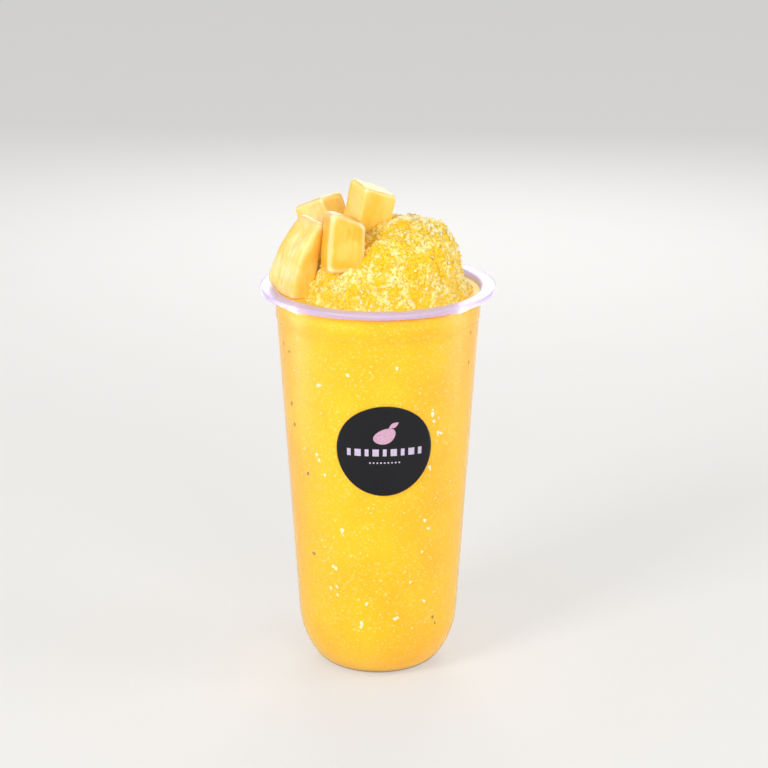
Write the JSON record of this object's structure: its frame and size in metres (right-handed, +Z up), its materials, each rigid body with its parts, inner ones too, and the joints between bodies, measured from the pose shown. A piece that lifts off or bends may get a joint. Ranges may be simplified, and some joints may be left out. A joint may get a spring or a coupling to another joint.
{
  "type": "mango smoothie in a cup",
  "caption": "Clear round-bottomed plastic cup filled with mango slush heaped above the rim, topped with chunks of mango, with a round black label.",
  "frame": {"origin": "centre of the cup's base, on the surface it stands on", "axes": "+Z up along the cup's axis; -Y is the side with the label"},
  "size_m": [0.09, 0.09, 0.1927],
  "materials": {
    "cup": "clear polypropylene",
    "label": "printed vinyl",
    "smoothie": "wet iced mango slush",
    "mango": "wet cut mango"
  },
  "bodies": {
    "root": {"cup": "cup", "label": "label", "smoothie": "smoothie", "mango_top": "mango", "mango_back": "mango", "mango_left": "mango", "mango_front": "mango"}
  },
  "joints": []
}
